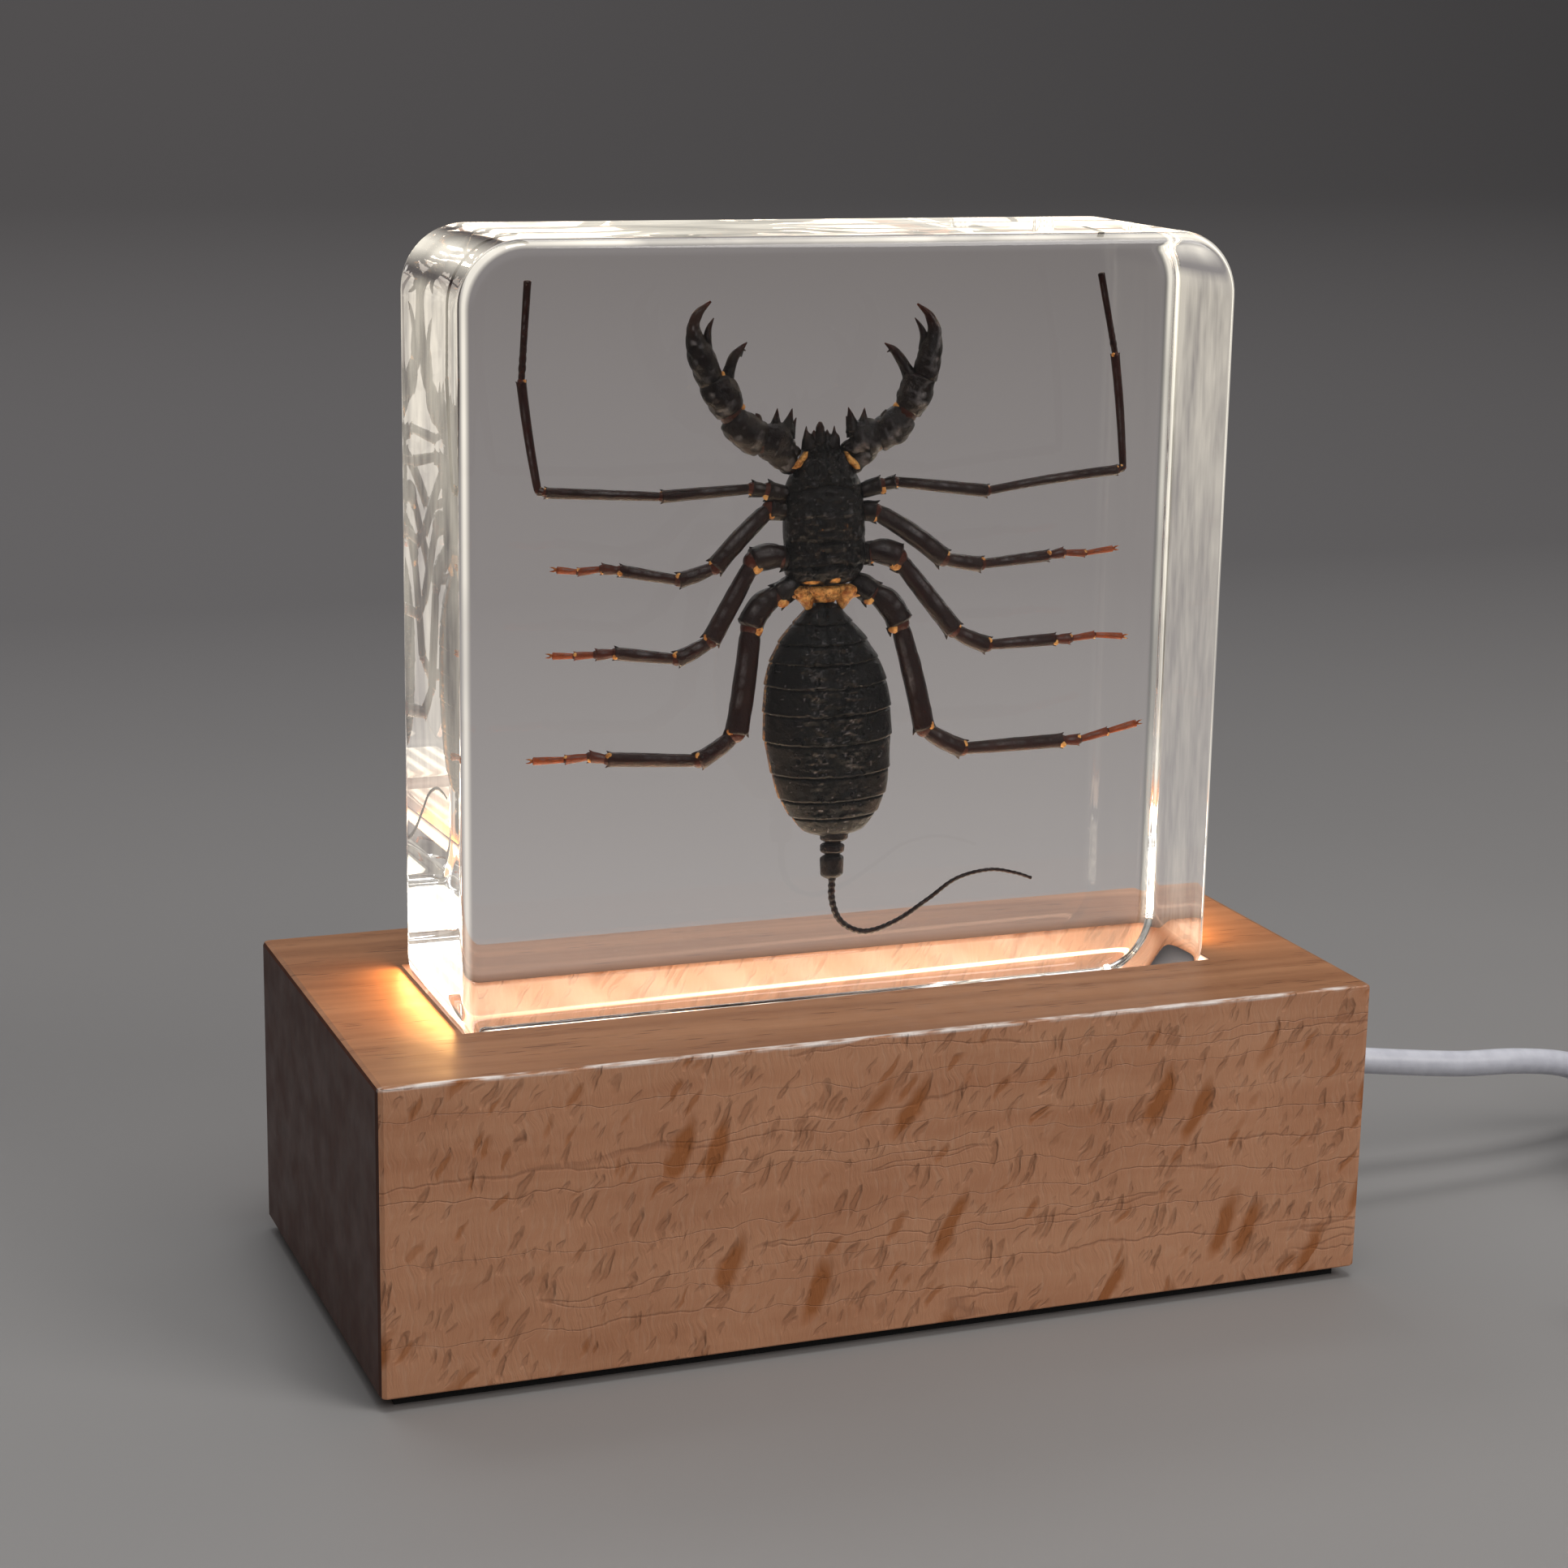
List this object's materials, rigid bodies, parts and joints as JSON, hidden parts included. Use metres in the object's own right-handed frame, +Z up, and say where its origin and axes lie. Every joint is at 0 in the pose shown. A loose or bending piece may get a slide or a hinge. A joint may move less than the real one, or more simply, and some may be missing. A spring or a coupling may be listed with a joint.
{
  "type": "whip scorpion in resin block",
  "caption": "Clear resin block holding a dried whip scorpion with its limbs spread, set upright in a beech base that lights it from below, with a thin white supply cord.",
  "frame": {"origin": "middle of the base's underside", "axes": "+X along the base's length to the viewer's right, +Y from the front of the block to its back, +Z up"},
  "size_m": [0.1827, 0.0816, 0.1005],
  "materials": {
    "chitin": "dark dried shell, satin, red-brown on the legs",
    "resin": "clear, cast and polished",
    "beech": "oiled beech with ray flecks",
    "pad": "matt black foam",
    "board": "white board",
    "led": "lit, warm",
    "cord": "smooth white",
    "steel": "plain folded shell"
  },
  "bodies": {
    "root": {"whip_scorpion": "chitin", "resin_front": "resin", "resin_back": "resin", "base_body": "beech", "base_pad": "pad", "led_board": "board", "led_1": "led", "led_2": "led", "led_3": "led", "led_4": "led", "led_5": "led", "led_6": "led", "led_7": "led", "led_8": "led", "strain_relief": "cord", "cord_lead": "cord", "cord_coil": "cord", "cord_tail": "cord", "plug_body": "cord", "plug_shell": "steel"}
  },
  "joints": []
}
